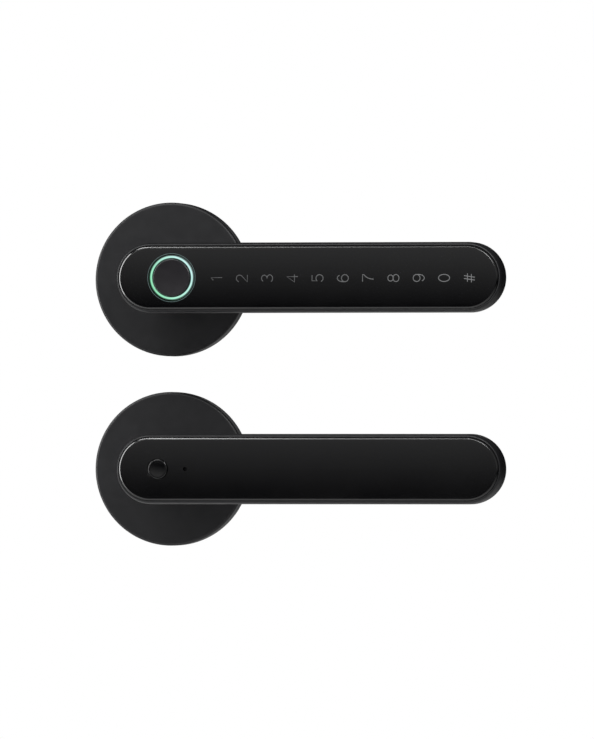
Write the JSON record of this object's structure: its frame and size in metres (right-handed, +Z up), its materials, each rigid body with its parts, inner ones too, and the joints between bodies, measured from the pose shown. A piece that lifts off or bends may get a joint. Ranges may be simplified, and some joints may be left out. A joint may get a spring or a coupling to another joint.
{
  "type": "keypad lever lock",
  "caption": "Door lever lock in two halves: outer lever with touch keypad, lit fingerprint reader and clutch; inner lever with privacy button, batteries and square spindle.",
  "frame": {"origin": "where the outer lever axis meets the door face plane", "axes": "+X along the levers from axis to tip; +Y out of the units' backs, into the door; +Z up; the inner unit's axis is 81.3 mm below the outer one"},
  "size_m": [0.1842, 0.1215, 0.1473],
  "materials": {
    "satin_black": "satin black coated zinc alloy",
    "touch_panel": "black hard-coated touch window, satin gloss",
    "battery_cover": "black moulded cover, satin gloss",
    "sensor_cap": "dark coated sensor cap",
    "light_ring": "translucent light guide, lit green to aqua",
    "zinc_steel": "zinc plated steel",
    "spring_steel": "bright spring steel",
    "bright_steel": "nickel plated steel",
    "brass": "turned brass",
    "nylon": "natural nylon",
    "gasket_rubber": "closed-cell black rubber",
    "black_plastic": "black moulded plastic",
    "white_plastic": "off-white moulded plastic",
    "circuit_board": "green solder mask on glass laminate",
    "battery_sleeve": "printed sleeve on a steel can"
  },
  "bodies": {
    "mounting_base": {"outer_rose_cover": "satin_black", "outer_mounting_plate": "zinc_steel", "outer_bearing_collar": "zinc_steel", "outer_neck_bush": "nylon", "outer_return_spring": "spring_steel", "outer_gasket": "gasket_rubber", "fixing_post_left": "zinc_steel", "fixing_post_right": "zinc_steel", "inner_rose_cover": "satin_black", "inner_mounting_plate": "zinc_steel", "inner_bearing_collar": "zinc_steel", "inner_neck_bush": "nylon", "inner_return_spring": "spring_steel", "fixing_screw_left": "zinc_steel", "fixing_screw_right": "zinc_steel"},
    "outer_lever": {"outer_lever_housing": "satin_black", "outer_neck": "satin_black", "outer_neck_nut": "zinc_steel", "outer_cam_clip": "spring_steel", "touch_panel": "touch_panel", "light_ring": "light_ring", "fingerprint_sensor": "sensor_cap", "sensor_board": "circuit_board", "keypad_board": "circuit_board", "control_board": "circuit_board", "board_screw_1": "zinc_steel", "board_screw_2": "zinc_steel", "buzzer": "black_plastic", "outer_cable_connector": "white_plastic", "emergency_port": "bright_steel", "clutch_spring": "spring_steel", "clutch_motor": "bright_steel", "motor_sleeve": "nylon"},
    "clutch": {"clutch_pin": "brass"},
    "socket": {"drive_socket": "zinc_steel"},
    "inner_lever": {"inner_lever_housing": "satin_black", "inner_neck": "satin_black", "inner_neck_nut": "zinc_steel", "inner_cam_clip": "spring_steel", "spindle": "zinc_steel", "grub_screw": "zinc_steel", "battery_tray": "black_plastic", "battery_1": "battery_sleeve", "battery_2": "battery_sleeve", "battery_3": "battery_sleeve", "battery_4": "battery_sleeve", "contact_plate_1": "spring_steel", "contact_plate_2": "spring_steel", "contact_plate_3": "spring_steel", "contact_plate_4": "spring_steel", "switch_board": "circuit_board", "privacy_switch": "black_plastic", "reset_switch": "black_plastic", "inner_cable_connector": "white_plastic"},
    "privacy_button": {"privacy_button": "satin_black"},
    "reset_plunger": {"reset_plunger": "black_plastic"},
    "battery_cover": {"battery_cover": "battery_cover"}
  },
  "joints": [
    {"name": "outer_lever_turn", "type": "hinge", "parent": "mounting_base", "child": "outer_lever", "pos_m": [0, 0, 0], "axis": [0, 1, 0], "range_deg": [0, 50], "stiffness_Nm_per_rad": 0.8, "springref_deg": -34.38, "deforming": ["outer_return_spring"]},
    {"name": "inner_lever_turn", "type": "hinge", "parent": "mounting_base", "child": "inner_lever", "pos_m": [0, 0, -0.0813], "axis": [0, 1, 0], "range_deg": [0, 50], "stiffness_Nm_per_rad": 0.8, "springref_deg": -34.38, "deforming": ["inner_return_spring"]},
    {"name": "drive_socket_turn", "type": "hinge", "parent": "mounting_base", "child": "socket", "pos_m": [0, 0, 0], "axis": [0, 1, 0], "range_deg": [0, 50]},
    {"name": "clutch_slide", "type": "slide", "parent": "outer_lever", "child": "clutch", "axis": [0, -1, 0], "range_m": [0, 0.003], "stiffness_N_per_m": 300, "springref_m": -0.002, "deforming": ["clutch_spring"]},
    {"name": "privacy_button_press", "type": "slide", "parent": "inner_lever", "child": "privacy_button", "axis": [0, 1, 0], "range_m": [0, 0.001], "stiffness_N_per_m": 800, "springref_m": -0.001},
    {"name": "reset_plunger_press", "type": "slide", "parent": "inner_lever", "child": "reset_plunger", "axis": [0, 1, 0], "range_m": [0, 0.0005], "stiffness_N_per_m": 1500, "springref_m": -0.0005},
    {"name": "battery_cover_lift", "type": "slide", "parent": "inner_lever", "child": "battery_cover", "axis": [0, -1, 0], "range_m": [0, 0.025]}
  ],
  "couplings": [
    {"joint": "inner_lever_turn", "follows": "outer_lever_turn", "ratio": 1},
    {"joint": "drive_socket_turn", "follows": "outer_lever_turn", "ratio": 1}
  ]
}
